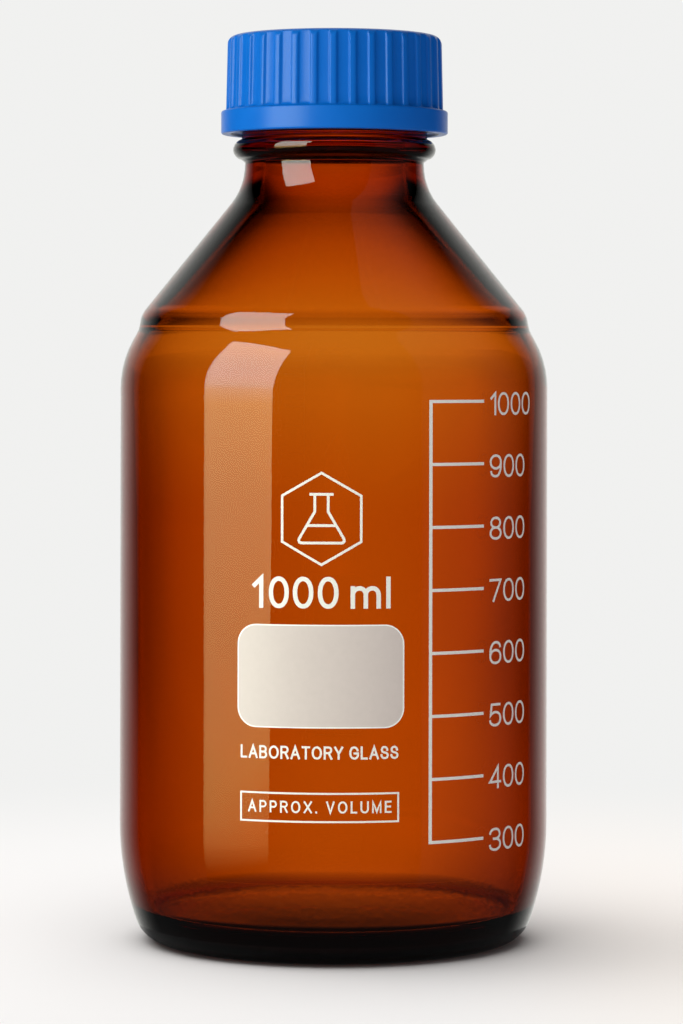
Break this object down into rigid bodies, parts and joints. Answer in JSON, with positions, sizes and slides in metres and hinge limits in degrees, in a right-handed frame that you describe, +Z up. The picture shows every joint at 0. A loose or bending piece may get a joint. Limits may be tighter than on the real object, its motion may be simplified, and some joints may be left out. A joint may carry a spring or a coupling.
{
  "type": "reagent bottle",
  "caption": "Amber glass laboratory bottle with a ribbed blue screw cap, a pouring ring, a white writing field and a printed volume scale.",
  "frame": {"origin": "centre of the standing ring's plane, on the bottle's axis", "axes": "+Z up along the bottle's axis, -Y towards the middle of the printed side, +X to the right of someone who reads the print"},
  "size_m": [0.101, 0.1011, 0.2136],
  "materials": {
    "amber_glass": "clear polished amber",
    "ring_plastic": "satin blue",
    "cap_plastic": "satin blue",
    "seal_silicone": "matt white",
    "label_enamel": "opaque satin white, fired on",
    "scale_enamel": "opaque satin white, fired on",
    "frame_enamel": "opaque satin white, fired on",
    "emblem_enamel": "opaque satin white, fired on"
  },
  "bodies": {
    "bottle": {"bottle": "amber_glass", "pouring_ring": "ring_plastic", "label_field": "label_enamel", "volume_scale": "scale_enamel", "caption_frame": "frame_enamel", "emblem_hexagon": "emblem_enamel"},
    "seal": {"sealing_disc": "seal_silicone"},
    "cap": {"screw_cap": "cap_plastic"}
  },
  "joints": [
    {"name": "cap_lift", "type": "slide", "parent": "bottle", "child": "seal", "axis": [0, 0, 1], "range_m": [0, 0.0201]},
    {"name": "cap_turn", "type": "hinge", "parent": "seal", "child": "cap", "pos_m": [0, 0, 0.2], "axis": [0, 0, 1], "range_deg": [0, 1800]}
  ],
  "couplings": [
    {"joint": "cap_lift", "follows": "cap_turn", "m_per_rad": 0.00063662}
  ]
}
